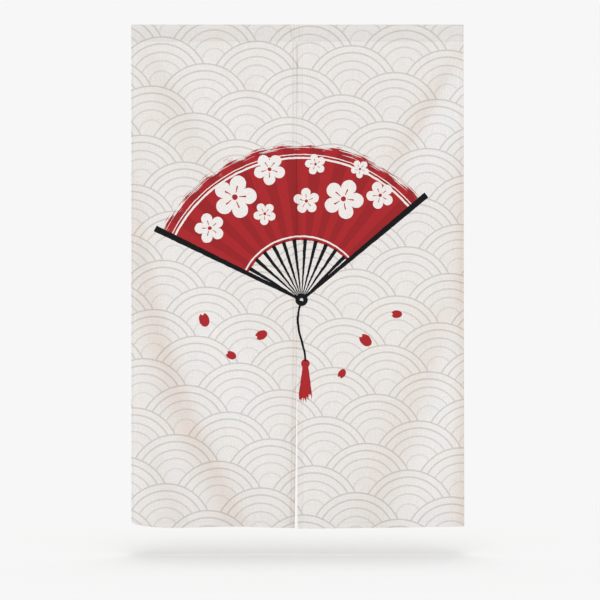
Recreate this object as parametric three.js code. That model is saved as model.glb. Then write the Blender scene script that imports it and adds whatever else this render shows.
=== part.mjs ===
// Noren door curtain: two cloth panels, sewn together at the top under one rod pocket.
// Millimetres. +Z is up, +X is to the viewer's right and -Y is towards the viewer.
// The origin is the middle of the curtain's top edge.
import * as THREE from 'three';

// The whole curtain as it hangs
const hungWidth = 792.5;
const rightEdgeFlare = 2.5; // how far the right edge swings out at the foot
const hungLength = 1198; // from the top edge to the foot, before the uneven foot is worked in
const seamX = -1; // the centre seam lies a little left of the middle
const pieceGap = 0.3; // between pieces that are sewn together

// The slit between the panels
const slitTop = 290; // down to here the panels are sewn edge to edge
const slitLoose = 400; // from here down the slit's edges roll back freely
const partingTop = 861; // from here down the slit's edges draw apart

// The cloth and its hems, which are turned to the back
const clothThickness = 1.2;
const hemThickness = 1.8;
const hemStep = 1.5; // over this width a hem thins down to the single cloth
const footHem = 14;

// The rod pocket, a loop of cloth that is stitched down at its foot and open at both ends
const rodRoom = 14; // inside the loop, front to back
const pocketHeight = 39; // from the top edge to the stitched line
const pocketMargin = 2; // turned cloth below the stitched line
const pocketNip = 0.15; // half the space left where the walls meet at the stitches
const pocketArcSteps = 10;
const pocketSteps = 18; // along the width

// How finely the cloth is divided
const columnStep = 17;
const rowStep = 29;
const curlColumnStep = 9;
const curlRowStep = 5;

// The turned-up corner: its crease runs from `along` on the foot to `up` on the side
const cornerCurl = { along: 51, up: 20, radius: 9 };

// Foot heights are read at even steps from the panel's left edge to its right edge
const panels = [
  {
    name: 'left_panel',
    hems: { left: 7, right: 8.5 },
    slitEdge: { side: 'right', drawsBack: 4.3, roll: 3.6, rollReach: 12 },
    foot: [1197.5, 1198, 1196.5, 1195, 1197, 1199],
    curl: cornerCurl,
  },
  {
    name: 'right_panel',
    hems: { left: 13, right: 7 },
    slitEdge: { side: 'left', drawsBack: 2.2, roll: 1.8, rollReach: 14 },
    foot: [1200.5, 1200, 1199, 1198.5, 1196.5, 1195.5],
    curl: null,
  },
];

// Each fold is a soft trough in one panel. Its lists are read at even steps from its top height to
// its end height: x is its deepest line, left and right are how far it reaches to either side,
// and depth is how far it is set back.
const folds = [
  {
    name: 'long fold from the left edge to the foot',
    panel: 'left_panel',
    top: -190,
    end: -1215,
    x: [-376, -354, -266, -90],
    left: [26, 31, 37],
    right: [48, 62, 86],
    depth: [0, 6.5, 15, 12],
  },
  {
    name: 'fan below the upper left corner',
    panel: 'left_panel',
    top: -20,
    end: -430,
    x: [-350, -266, -192, -140],
    left: [26, 62, 76],
    right: [60, 90, 110],
    depth: [0, 7.4, 7.4, 0],
  },
  {
    name: 'faint crease beside the seam',
    panel: 'left_panel',
    top: -50,
    end: -300,
    x: [-130, -85, -40],
    left: [16, 22],
    right: [30, 40],
    depth: [0, 2.2, 0],
  },
  {
    name: 'faint crease in the lower left',
    panel: 'left_panel',
    top: -900,
    end: -1215,
    x: [-372, -312, -246],
    left: [24, 28],
    right: [32, 34],
    depth: [0, 3, 3],
  },
  {
    name: 'set back beside the slit, left',
    panel: 'left_panel',
    top: -700,
    end: -1215,
    x: [50, 46, 42],
    left: [36, 36],
    right: [30, 30],
    depth: [0, 8, 11],
  },
  {
    name: 'narrow fold from the upper right corner',
    panel: 'right_panel',
    top: -40,
    end: -430,
    x: [405, 345, 277, 222],
    left: [18, 26, 34],
    right: [38, 46, 56],
    depth: [0, 5.4, 5, 0],
  },
  {
    name: 'wide fold in the lower right',
    panel: 'right_panel',
    top: -540,
    end: -1215,
    x: [418, 352, 286, 228],
    left: [34, 44, 50],
    right: [40, 50, 58],
    depth: [0, 7.6, 9.6, 7.6],
  },
  {
    name: 'right edge turned back',
    panel: 'right_panel',
    top: -330,
    end: -1215,
    x: [412, 408, 412, 406],
    left: [15, 19],
    right: [30, 30],
    depth: [0, 4.6, 5.6, 9],
  },
  {
    name: 'set back beside the slit, right',
    panel: 'right_panel',
    top: -560,
    end: -1215,
    x: [-52, -48, -44],
    left: [30, 30],
    right: [40, 44],
    depth: [0, 5.4, 6],
  },
];

const halfWidth = hungWidth / 2;
const panelTop = -(pocketHeight + pocketMargin + pieceGap);
const panelLength = hungLength + panelTop;

// The values of a list, read as a smooth line at even steps over 0 to 1
function smoothLine(values) {
  return new THREE.SplineCurve(values.map((value, step) => new THREE.Vector2(step, value)));
}

function readLine(line, share) {
  return line.getPoint(THREE.MathUtils.clamp(share, 0, 1)).y;
}

const foldLines = folds.map((fold) => ({
  ...fold,
  x: smoothLine(fold.x),
  left: smoothLine(fold.left),
  right: smoothLine(fold.right),
  depth: smoothLine(fold.depth),
}));

// How far a fold sets the cloth back at a place: a bell across the fold, steeper on one side
function foldDepth(fold, x, z) {
  const share = (z - fold.top) / (fold.end - fold.top);
  if (share <= 0 || share >= 1) return 0;
  const across = x - readLine(fold.x, share);
  const reach = readLine(across < 0 ? fold.left : fold.right, share);
  return readLine(fold.depth, share) * Math.exp(-0.5 * (across / reach) ** 2);
}

function allFoldsDepth(panelName, x, z) {
  let depth = 0;
  for (const fold of foldLines) {
    if (fold.panel === panelName) depth += foldDepth(fold, x, z);
  }
  return depth;
}

// 0 down to the first height, 1 below the second, with an even slope between them
function below(z, from, to) {
  return THREE.MathUtils.clamp((-z - from) / (to - from), 0, 1);
}

// The left and right edges of a panel at a height
function panelEdges(panel, z) {
  const parting = panel.slitEdge.drawsBack * below(z, partingTop, hungLength);
  if (panel.slitEdge.side === 'right') return [-halfWidth, seamX - pieceGap / 2 - parting];
  return [seamX + pieceGap / 2 + parting, halfWidth + rightEdgeFlare * below(z, 0, hungLength)];
}

// How far the slit's edge rolls back at a distance from that edge
function slitRoll(panel, distance, z) {
  const nearness = Math.max(0, 1 - distance / panel.slitEdge.rollReach);
  return panel.slitEdge.roll * nearness ** 2 * below(z, slitTop, slitLoose);
}

// Positions from the first mark to the last, at most a mark's step apart up to the next mark
function gradedStops(marks) {
  const stops = [marks[0].at];
  for (let i = 1; i < marks.length; i++) {
    const span = marks[i].at - marks[i - 1].at;
    const count = Math.max(1, Math.ceil(span / marks[i - 1].step));
    for (let k = 1; k <= count; k++) stops.push(marks[i - 1].at + (span * k) / count);
  }
  return stops;
}

// Stops across a panel, with lines at the inner edges of its hems
function columnStops(panel, width) {
  const { left, right } = panel.hems;
  return gradedStops([
    { at: 0, step: left },
    { at: left, step: hemStep },
    { at: left + hemStep, step: panel.curl ? curlColumnStep : columnStep },
    ...(panel.curl ? [{ at: panel.curl.along + panel.curl.radius, step: columnStep }] : []),
    { at: width - right - hemStep, step: hemStep },
    { at: width - right, step: right },
    { at: width, step: right },
  ]);
}

// Stops down a panel, with lines at the inner edge of the foot hem
function rowStops(panel) {
  const hemLine = panelLength - footHem;
  const curlLine = panel.curl ? panelLength - panel.curl.up - 2 * panel.curl.radius : null;
  return gradedStops([
    { at: 0, step: rowStep },
    ...(panel.curl ? [{ at: curlLine, step: curlRowStep }] : []),
    { at: hemLine - hemStep, step: hemStep },
    { at: hemLine, step: panel.curl ? curlRowStep : footHem },
    { at: panelLength, step: footHem },
  ]);
}

function thicknessAt(panel, column, row, width) {
  const inHem = column <= panel.hems.left || column >= width - panel.hems.right;
  const inFootHem = row >= panelLength - footHem;
  return inHem || inFootHem ? hemThickness : clothThickness;
}

// Wraps a point beyond the corner's crease round a cylinder behind the cloth
function curlCorner(panel, point, inset) {
  const { along, up, radius } = panel.curl;
  const crease = Math.hypot(along, up);
  const towards = new THREE.Vector3(-up / crease, 0, -along / crease);
  const creaseStart = new THREE.Vector3(-halfWidth, 0, up - panel.foot[0]);
  const distance = point.clone().sub(creaseStart).dot(towards);
  const wrapped = (distance + radius) / radius;
  if (wrapped <= 0) {
    point.y += inset;
    return;
  }
  point.addScaledVector(towards, (radius - inset) * Math.sin(wrapped) - radius - distance);
  point.y += radius - (radius - inset) * Math.cos(wrapped);
}

// A point of the cloth's front face, or of its back face
function clothPoint(panel, column, row, width, atBack) {
  const footZ = -readLine(panel.footLine, column / width);
  const z = THREE.MathUtils.lerp(panelTop, footZ, row / panelLength);
  const [leftX, rightX] = panelEdges(panel, z);
  const x = THREE.MathUtils.lerp(leftX, rightX, column / width);
  const fromSlit = panel.slitEdge.side === 'right' ? rightX - x : x - leftX;
  const setBack = allFoldsDepth(panel.name, x, z) + slitRoll(panel, fromSlit, z);
  const point = new THREE.Vector3(x, setBack - clothThickness, z);
  const inset = atBack ? thicknessAt(panel, column, row, width) : 0;
  if (panel.curl) curlCorner(panel, point, inset);
  else point.y += inset;
  return point;
}

// A panel is a box of one layer, laid on the hanging cloth point by point
function panelGeometry(panel) {
  const [leftX, rightX] = panelEdges(panel, panelTop);
  const width = rightX - leftX;
  const columns = columnStops(panel, width);
  const rows = rowStops(panel);
  const lastColumn = columns.length - 1;
  const lastRow = rows.length - 1;
  const shaped = { ...panel, footLine: smoothLine(panel.foot) };
  const geometry = new THREE.BoxGeometry(1, 1, 1, lastColumn, lastRow, 1);
  const position = geometry.attributes.position;
  for (let i = 0; i < position.count; i++) {
    const column = columns[Math.round((position.getX(i) + 0.5) * lastColumn)];
    const row = rows[Math.round((0.5 - position.getY(i)) * lastRow)];
    const point = clothPoint(shaped, column, row, width, position.getZ(i) < 0);
    position.setXYZ(i, point.x, point.y, point.z);
  }
  geometry.computeVertexNormals();
  return geometry;
}

// One wall of the pocket's section: an arc over the rod and two straight sides down to the nip
function tracePocket(path, radius, halfNip, nipZ) {
  const centreZ = -(rodRoom / 2 + clothThickness);
  const lean = Math.asin((radius - halfNip) / (centreZ - nipZ));
  path.moveTo(halfNip, nipZ);
  path.absarc(0, centreZ, radius, -lean, Math.PI + lean, false);
  path.lineTo(-halfNip, nipZ);
}

// The rod pocket, whose foot follows the folds that start below it
function pocketGeometry() {
  const section = new THREE.Shape();
  tracePocket(section, rodRoom / 2 + clothThickness, clothThickness, -pocketHeight);
  section.lineTo(-clothThickness, -pocketHeight - pocketMargin);
  section.lineTo(clothThickness, -pocketHeight - pocketMargin);
  section.closePath();
  const room = new THREE.Path();
  tracePocket(room, rodRoom / 2, pocketNip, -pocketHeight + clothThickness);
  room.closePath();
  section.holes.push(room);
  const geometry = new THREE.ExtrudeGeometry(section, {
    depth: hungWidth,
    steps: pocketSteps,
    curveSegments: pocketArcSteps,
    bevelEnabled: false,
  });
  const sectionAxes = [new THREE.Vector3(0, 1, 0), new THREE.Vector3(0, 0, 1), new THREE.Vector3(1, 0, 0)];
  geometry.applyMatrix4(new THREE.Matrix4().makeBasis(...sectionAxes));
  geometry.translate(-halfWidth, 0, 0);
  const position = geometry.attributes.position;
  for (let i = 0; i < position.count; i++) {
    const x = position.getX(i);
    const panelName = x < seamX ? 'left_panel' : 'right_panel';
    const sway = allFoldsDepth(panelName, x, panelTop) * below(position.getZ(i), 0, pocketHeight);
    position.setY(i, position.getY(i) + sway);
  }
  geometry.computeVertexNormals();
  return geometry;
}

const clothColour = new THREE.Color('#ebe8e4');

function clothMesh(name, geometry) {
  const material = new THREE.MeshStandardMaterial({ color: clothColour, roughness: 0.95, metalness: 0 });
  const mesh = new THREE.Mesh(geometry, material);
  mesh.name = name;
  return mesh;
}

const noren = new THREE.Group();
noren.add(clothMesh('heading', pocketGeometry()));
for (const panel of panels) noren.add(clothMesh(panel.name, panelGeometry(panel)));

export default noren;
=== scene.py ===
import logging
import math
from collections.abc import Sequence
from dataclasses import dataclass
from enum import Enum
from functools import cached_property, reduce

import bmesh
import bpy
from mathutils import Matrix, Vector, noise


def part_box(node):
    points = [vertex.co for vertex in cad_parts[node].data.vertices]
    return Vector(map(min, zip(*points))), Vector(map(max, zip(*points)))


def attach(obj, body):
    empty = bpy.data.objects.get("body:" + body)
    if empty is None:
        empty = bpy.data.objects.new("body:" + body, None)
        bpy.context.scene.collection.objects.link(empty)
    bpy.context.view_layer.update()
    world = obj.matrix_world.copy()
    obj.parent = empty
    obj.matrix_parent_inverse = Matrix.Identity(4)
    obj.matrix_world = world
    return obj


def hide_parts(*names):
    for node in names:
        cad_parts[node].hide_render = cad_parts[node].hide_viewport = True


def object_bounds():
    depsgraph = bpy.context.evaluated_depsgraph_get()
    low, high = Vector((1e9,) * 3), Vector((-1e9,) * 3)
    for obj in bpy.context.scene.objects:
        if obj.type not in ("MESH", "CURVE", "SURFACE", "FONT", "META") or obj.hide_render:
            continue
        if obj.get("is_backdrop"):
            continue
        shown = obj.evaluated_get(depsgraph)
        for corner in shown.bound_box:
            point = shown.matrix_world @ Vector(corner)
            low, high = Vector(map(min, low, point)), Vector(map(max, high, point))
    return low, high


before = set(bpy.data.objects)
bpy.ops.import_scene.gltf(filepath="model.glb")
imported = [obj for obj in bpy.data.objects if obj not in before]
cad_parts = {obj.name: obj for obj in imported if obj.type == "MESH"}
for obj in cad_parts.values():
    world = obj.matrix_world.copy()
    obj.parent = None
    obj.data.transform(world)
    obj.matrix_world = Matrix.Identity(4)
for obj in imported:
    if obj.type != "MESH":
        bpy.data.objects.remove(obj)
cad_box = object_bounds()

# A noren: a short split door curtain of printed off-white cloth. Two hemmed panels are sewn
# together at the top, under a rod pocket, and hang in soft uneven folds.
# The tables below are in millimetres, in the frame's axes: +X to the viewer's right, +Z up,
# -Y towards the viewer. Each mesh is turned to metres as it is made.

MM = 0.001
RIM = 0.03
FLAT_MAP = "ClothFlat"
# EDGE_SHADE holds each point's painted shade at folded edges, the seam and creases
EDGE_SHADE = "edge_shade"

Marks = list[tuple[float, float]]
Finish = bpy.types.Material
Piece = bpy.types.Object
Field = bpy.types.NodeSocket
Value = float | Sequence[float] | Field
Inputs = dict[int | str, Value]

log = logging.getLogger("noren")


class Side(Enum):
    """Which of the two panels."""

    LEFT = "left"
    RIGHT = "right"


class Layer(Enum):
    """Which of a cloth's two faces."""

    FRONT = 0
    BACK = 1


class Face(Enum):
    """What a part of a cloth shows. The curtain is printed in front after it is sewn.

    Behind, a single cloth shows its reverse, with a shadow of the print, and hems show plain cloth.
    """

    PRINTED = 0
    REVERSE = 1
    PLAIN = 2


def clamp(value: float, low: float = 0.0, high: float = 1.0) -> float:
    """Keeps a value between two limits."""
    return min(max(value, low), high)


def mix(first: float, second: float, share: float) -> float:
    """Reads the value at a share of the way from the first to the second."""
    return first + (second - first) * share


def smooth_step(value: float, start: float, end: float) -> float:
    """Rises softly from 0 at start to 1 at end."""
    share = clamp((value - start) / (end - start))
    return share * share * (3 - 2 * share)


def below(z: float, start: float, end: float) -> float:
    """Rises evenly from 0 at start to 1 at end, both measured down from the top edge."""
    return clamp((-z - start) / (end - start))


def bell(distance: float, reach: float) -> float:
    """A bell of height 1 that fades over the reach."""
    return math.exp(-0.5 * (distance / reach) ** 2)


def fading(distance: float, reach: float) -> float:
    """A slope of height 1 that fades over the reach."""
    return math.exp(-distance / reach)


def waver(across: float, down: float, size: tuple[float, float], seed: float) -> float:
    """Reads soft noise with bumps of a given width and height, the same on every run."""
    return noise.noise(Vector((across / size[0], down / size[1], seed)))


def rounded(from_edge: float, radius: float) -> float:
    """Returns how far a round edge draws in at a distance from its rim, which keeps a thin face."""
    within = radius - clamp(from_edge, RIM, radius)
    return radius - math.sqrt(radius**2 - within**2)


def smooth_line(values: Sequence[float], share: float) -> float:
    """Reads values that stand at even steps as one smooth line.

    Args:
        values: the line's values, at even steps from its start to its end.
        share: where to read it, 0 at the start and 1 at the end.

    Returns:
        The line's value there.
    """
    last = len(values) - 1
    place = clamp(share) * last
    start = min(int(place), last - 1)
    t = place - start
    first, second = values[start], values[start + 1]
    rise_in = (second - values[max(start - 1, 0)]) / 2
    rise_out = (values[min(start + 2, last)] - first) / 2
    cubic = 2 * (first - second) + rise_in + rise_out
    square = 3 * (second - first) - 2 * rise_in - rise_out
    return ((cubic * t + square) * t + rise_in) * t + first


def graded_stops(marks: Marks) -> list[float]:
    """Divides a length finely in some places and coarsely in others.

    Args:
        marks: pairs of a position and the widest step from there to the next mark.

    Returns:
        Positions from the first mark to the last.
    """
    stops = [marks[0][0]]
    for (start, step), (end, _) in zip(marks, marks[1:]):
        count = max(1, math.ceil((end - start) / step - 1e-9))
        stops += [mix(start, end, k / count) for k in range(1, count + 1)]
    return stops


def mirrored(marks: Marks, length: float) -> Marks:
    """Turns marks round, so that they are measured from the far end of a length."""
    steps = [step for _, step in reversed(marks[:-1])] + [1.0]
    return [(length - place, step) for (place, _), step in zip(reversed(marks), steps)]


def folded_edge(next_step: float) -> Marks:
    """Returns fine marks round a folded edge, and the step that follows them."""
    return [(0.0, 0.12), (0.12, 0.28), (0.4, 0.45), (0.85, next_step)]


# How the cloth hangs


@dataclass(frozen=True)
class Fold:
    """A soft trough in one panel, read at even steps from its top height to its end height.

    x is its deepest line, left and right are how far it reaches to either side, and depth is how
    far it is set back.
    """

    side: Side
    top: float
    end: float
    x: tuple[float, ...]
    left: tuple[float, ...]
    right: tuple[float, ...]
    depth: tuple[float, ...]

    def set_back(self, x: float, z: float) -> float:
        """Returns how far the fold sets the cloth back.

        Args:
            x: a place across the curtain.
            z: its height.

        Returns:
            The depth there, or 0 above and below the fold.
        """
        share = (z - self.top) / (self.end - self.top)
        if not 0 < share < 1:
            return 0.0
        across = x - smooth_line(self.x, share)
        reach = smooth_line(self.left if across < 0 else self.right, share)
        return smooth_line(self.depth, share) * bell(across, reach)


MAIN_FOLDS = (
    # the long fold from the left edge down to the foot
    Fold(Side.LEFT, -190, -1215, (-372, -345, -256, -104), (26, 33, 37), (58, 84, 112), (0, 7.5, 15, 12)),
    # the fan below the upper left corner
    Fold(Side.LEFT, -20, -430, (-354, -274, -202, -150), (20, 44, 58), (60, 90, 110), (0, 8, 8, 0)),
    # the faint crease beside the seam
    Fold(Side.LEFT, -50, -300, (-130, -85, -40), (16, 22), (30, 40), (0, 2.2, 0)),
    # the faint crease in the lower left
    Fold(Side.LEFT, -900, -1215, (-372, -312, -246), (24, 28), (32, 34), (0, 3, 3)),
    # the left edge drawn back towards the foot
    Fold(Side.LEFT, -640, -1215, (-426, -426, -424), (20, 20), (30, 34), (0, 3.4, 4.4)),
    # the left panel set back beside the slit
    Fold(Side.LEFT, -700, -1215, (50, 46, 42), (36, 36), (30, 30), (0, 8, 11)),
    # the narrow fold from the upper right corner
    Fold(Side.RIGHT, -40, -430, (405, 345, 277, 222), (18, 26, 34), (38, 46, 56), (0, 7, 6.6, 0)),
    # the wide fold in the lower right
    Fold(Side.RIGHT, -540, -1215, (418, 352, 286, 228), (34, 44, 50), (40, 50, 58), (0, 7.6, 9.6, 7.6)),
    # the right edge turned back
    Fold(Side.RIGHT, -160, -1215, (414, 412, 412, 410), (17, 19), (30, 30), (0, 8, 7, 7.5)),
    # the right panel set back beside the slit
    Fold(Side.RIGHT, -560, -1215, (-52, -48, -44), (30, 30), (54, 60), (0, 4.2, 4.8)),
)


@dataclass(frozen=True)
class Hang:
    """The whole curtain's size and how its cloth hangs.

    The slit, the lap, the parting and the seam start and end at lengths below the top edge.
    """

    left_x: float
    right_x: float
    length: float = 1198.0
    right_flare: float = 2.5
    seam_x: float = -1.0
    slit_top: float = 290.0
    slit_loose: float = 400.0
    slit_slack: float = 0.15
    slit_lap: float = 0.45
    lap_end: float = 780.0
    parting_top: float = 800.0
    seam_fade_top: float = 250.0
    seam_fade_end: float = 380.0
    front: float = -1.2
    single: float = 0.8
    hem_extra: float = 0.9
    joint_z: float = -41.15
    uneven: float = 0.42
    fine_share: float = 0.32

    def folds(self, side: Side, x: float, z: float) -> float:
        """Returns how far all folds of a panel set its cloth back at a place."""
        return sum(fold.set_back(x, z) for fold in MAIN_FOLDS if fold.side is side)

    def softness(self, x: float, z: float) -> float:
        """Returns the cloth's small soft unevenness at a place."""
        broad, fine = waver(x, z, (74, 128), 3.1), waver(x, z, (31, 46), 8.7)
        return self.uneven * (broad + self.fine_share * fine)

    def loose(self, z: float) -> float:
        """Rises from 0 at the top of the slit to 1 where the panels hang freely."""
        return below(z, self.slit_top, self.slit_loose)

    def sewn(self, z: float) -> float:
        """Returns how firmly the seam holds the panels together, from 1 above the slit to 0."""
        return 1 - below(z, self.seam_fade_top, self.seam_fade_end)


@dataclass(frozen=True)
class Crease:
    """A fine sharp line pressed into the cloth, from a top height down to an end height."""

    top: float
    end: float
    x_top: float
    x_end: float
    depth: float
    reach: float
    fade_in: tuple[float, float] = (0.03, 0.22)
    fade_out: tuple[float, float] = (0.72, 0.98)

    def press(self, x: float, z: float) -> float:
        """Returns how deep the crease is.

        Args:
            x: a place across the curtain.
            z: its height.

        Returns:
            The depth there. It fades towards the crease's two ends.
        """
        share = (z - self.top) / (self.end - self.top)
        fade = smooth_step(share, *self.fade_in) * (1 - smooth_step(share, *self.fade_out))
        return self.depth * fade * bell(x - mix(self.x_top, self.x_end, share), self.reach)


POCKET_CREASES = (
    # where the panels' folded edges run up into the pocket
    Crease(0, -39, -16.5, -9.0, 0.8, 2.6),
    Crease(0, -39, -6.6, -5.8, 0.7, 1.1),
    Crease(0, -39, -1.7, -0.8, 0.45, 1.2),
    Crease(0, -39, 5.4, 6.2, 0.7, 1.2),
    Crease(0, -39, 12.4, 13.2, 0.4, 1.2),
)


@dataclass(frozen=True)
class StitchRow:
    """One sewn row, at a distance in from an edge of its cloth."""

    inset: float
    groove: float = 0.26
    spread: float = 1.3
    back_groove: float = 1.6
    pucker: float = 0.2
    pucker_reach: float = 8.0
    pucker_length: float = 8.5

    def press(self, distance: float) -> float:
        """Returns how deep the thread presses the cloth at a distance from the row."""
        return self.groove * bell(distance, self.spread)

    def ripple(self, distance: float, along: float, seed: float) -> float:
        """Returns the small waves that the thread draws into the cloth beside it."""
        wave = waver(along, seed, (self.pucker_length, 1.0), 0.5)
        return self.pucker * wave * bell(distance, self.pucker_reach)


# Meshes


@dataclass(frozen=True)
class StitchRun:
    """Where a thread runs, down or across a cloth: at a fixed stop, from edge to edge."""

    layer: Layer
    down: bool
    fixed: float
    length: float
    behind: bool
    margin: float = 1.0

    def place(self, spot: float) -> tuple[float, float]:
        """Returns the column and the row at a spot along the run."""
        return (self.fixed, spot) if self.down else (spot, self.fixed)


class ClothPiece:
    """A closed cloth sheet: a grid, laid on the hanging cloth point by point.

    A piece gives its stops across and down, the place of each point of both faces, and the print
    coordinates there.
    """

    name: str
    columns: list[float]
    rows: list[float]
    width: float
    run: float
    crease_angle = math.radians(42)
    # how far the painted shade at a folded edge reaches
    edge_reach = 2.2
    probe = 0.6

    def place(self, column: float, row: float, layer: Layer) -> Vector:
        """Returns the place of a point of the cloth."""
        raise NotImplementedError

    def print_place(self, column: float, row: float, turned: bool) -> tuple[float, float]:
        """Returns a point's place on the flat printed cloth."""
        raise NotImplementedError

    def face(self, column: float, row: float, layer: Layer) -> Face:
        """Tells what the cloth shows there."""
        raise NotImplementedError

    def edge_shade(self, column: float, row: float) -> float:
        """Returns the painted shade at folded edges and creases, from 1 on them to 0."""
        raise NotImplementedError

    def stitch_runs(self) -> list[StitchRun]:
        """Returns where threads run on the cloth."""
        raise NotImplementedError

    def build(self, finishes: Sequence[Finish]) -> Piece:
        """Makes the sheet.

        Args:
            finishes: the materials of the printed, reverse and plain faces, in this order.

        Returns:
            The sheet's object, with its place in its mesh.
        """
        sheet = bmesh.new()
        across, down = len(self.columns) - 1, len(self.rows) - 1
        bmesh.ops.create_grid(sheet, x_segments=across, y_segments=down, size=0.5)
        column_at, row_at, shade_at = (
            sheet.verts.layers.float.new(name) for name in ("column", "row", EDGE_SHADE)
        )
        for point in sheet.verts:
            point[column_at] = self.columns[round((point.co.x + 0.5) * across)]
            point[row_at] = self.rows[round((0.5 - point.co.y) * down)]
            # each point keeps the painted shade of its edges and creases, which the material darkens by
            point[shade_at] = self.edge_shade(point[column_at], point[row_at])
        doubled = bmesh.ops.extrude_face_region(sheet, geom=sheet.faces[:], use_keep_orig=True)
        backs = {part for part in doubled["geom"] if isinstance(part, bmesh.types.BMVert)}
        stops = {}
        for point in sheet.verts:
            layer = Layer.BACK if point in backs else Layer.FRONT
            stops[point] = (point[column_at], point[row_at], layer)
            point.co = self.place(*stops[point]) * MM
        flat = sheet.loops.layers.uv.new(FLAT_MAP)
        for face in sheet.faces:
            self._dress(face, flat, [stops[corner.vert] for corner in face.loops])
        bmesh.ops.recalc_face_normals(sheet, faces=sheet.faces[:])
        if sheet.calc_volume(signed=True) < 0:
            bmesh.ops.reverse_faces(sheet, faces=sheet.faces[:])
        return finish_mesh(self.name, sheet, finishes, self.crease_angle)

    def _dress(
        self,
        face: bmesh.types.BMFace,
        flat: bmesh.types.BMLayerItem,
        stops: Sequence[tuple[float, float, Layer]],
    ) -> None:
        """Gives one face its material and its place on the flat cloth.

        Args:
            face: the face.
            flat: the map of places on the flat cloth.
            stops: for each of its corners, the column, the row and the cloth's layer.
        """
        count = len(stops)
        behind = all(layer is Layer.BACK for _, _, layer in stops)
        column = sum(stop[0] for stop in stops) / count
        row = sum(stop[1] for stop in stops) / count
        shown = self.face(column, row, Layer.BACK if behind else Layer.FRONT)
        face.smooth = True
        face.material_index = shown.value
        for corner, stop in zip(face.loops, stops):
            corner[flat].uv = Vector(self.print_place(*stop[:2], shown is Face.PLAIN)) * MM

    def thread_frame(self, spot: float, run: StitchRun) -> Matrix:
        """Works out how a stitch lies on the cloth.

        Args:
            spot: the stitch's place along its run.
            run: where its thread runs.

        Returns:
            A frame with axes along the seam, across it and out of the cloth.
        """
        column, row = run.place(spot)
        here = self.place(column, row, run.layer)
        downward, sideways = (
            self.place(column + side, row + drop, run.layer)
            - self.place(column - side, row - drop, run.layer)
            for side, drop in ((0.0, self.probe), (self.probe, 0.0))
        )
        along = (downward if run.down else sideways).normalized()
        outward = sideways.cross(downward).normalized()
        if (outward.y < 0) is (run.layer is Layer.BACK):
            outward.negate()
        across = outward.cross(along).normalized()
        turn = Matrix((along, across, outward)).transposed().to_4x4()
        return Matrix.Translation(here * MM) @ turn


def finish_mesh(
    name: str, shape: bmesh.types.BMesh, finishes: Sequence[Finish], crease_angle: float
) -> Piece:
    """Turns a bmesh into an object at the origin.

    Args:
        name: the object's name.
        shape: the mesh, in metres.
        finishes: the materials, in the order of the faces' material numbers.
        crease_angle: faces that meet at more than this stay sharp.

    Returns:
        The new object.
    """
    mesh = bpy.data.meshes.new(name)
    shape.to_mesh(mesh)
    shape.free()
    mesh.set_sharp_from_angle(angle=crease_angle)
    for material in finishes:
        mesh.materials.append(material)
    piece = bpy.data.objects.new(name, mesh)
    bpy.context.collection.objects.link(piece)
    return piece


@dataclass(frozen=True)
class Stitching:
    """Lockstitch in sewing thread: one thread a row, pinched where it goes into the cloth."""

    pitch: float = 3.2
    width: float = 0.62
    proud: float = 0.3
    pinch: float = 0.16
    sides: int = 6
    rings: int = 4

    def sew(self, cloth: ClothPiece, name: str, threads: Sequence[Finish]) -> Piece:
        """Makes all rows of stitches of one cloth as a single mesh.

        Args:
            cloth: the cloth that they are sewn into.
            name: the object's name.
            threads: the materials of the front's thread and the bobbin thread behind.

        Returns:
            The stitches' object.
        """
        shape = bmesh.new()
        flat = shape.loops.layers.uv.new(FLAT_MAP)
        for run in cloth.stitch_runs():
            self._add_thread(shape, flat, cloth, run)
        bmesh.ops.remove_doubles(shape, verts=shape.verts[:], dist=0.002 * MM)
        bmesh.ops.recalc_face_normals(shape, faces=shape.faces[:])
        return finish_mesh(name, shape, threads, math.pi)

    def _add_thread(
        self, shape: bmesh.types.BMesh, flat: bmesh.types.BMLayerItem, cloth: ClothPiece, run: StitchRun
    ) -> None:
        """Lays one thread along its run: a grid rolled up into a tube, pinched at each stitch.

        Args:
            shape: the mesh that the thread is added to.
            flat: its map of places on the flat cloth.
            cloth: the cloth that it is sewn into.
            run: where it runs.
        """
        first, last = run.margin, run.length - run.margin
        count = int((last - first) / self.pitch)
        length = (last - first) / count
        spots = [mix(first, last, (k + 0.5) / count) for k in range(count)]
        seats = [cloth.thread_frame(spot, run) for spot in spots]
        total = count * self.rings
        tube = bmesh.ops.create_grid(shape, x_segments=total, y_segments=self.sides, size=0.5)
        stitch_of = {}
        for point in tube["verts"]:
            ring = round((point.co.x + 0.5) * total)
            turn = 2 * math.pi * round((point.co.y + 0.5) * self.sides) / self.sides
            stitch = min(ring // self.rings, count - 1)
            share = ring / self.rings - stitch
            girth = max(math.sin(math.pi * share), self.pinch) if 0 < ring < total else 0.0
            across = girth * self.width / 2 * math.cos(turn)
            out = girth * self.proud * math.sin(turn)
            point.co = seats[stitch] @ Vector(((share - 0.5) * length * MM, across * MM, out * MM))
            stitch_of[point] = stitch
        for face in {face for point in tube["verts"] for face in point.link_faces}:
            stitch = min(stitch_of[point] for point in face.verts)
            print_place = Vector(cloth.print_place(*run.place(spots[stitch]), False)) * MM
            face.smooth = True
            face.material_index = int(run.behind)
            for corner in face.loops:
                corner[flat].uv = print_place


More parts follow.
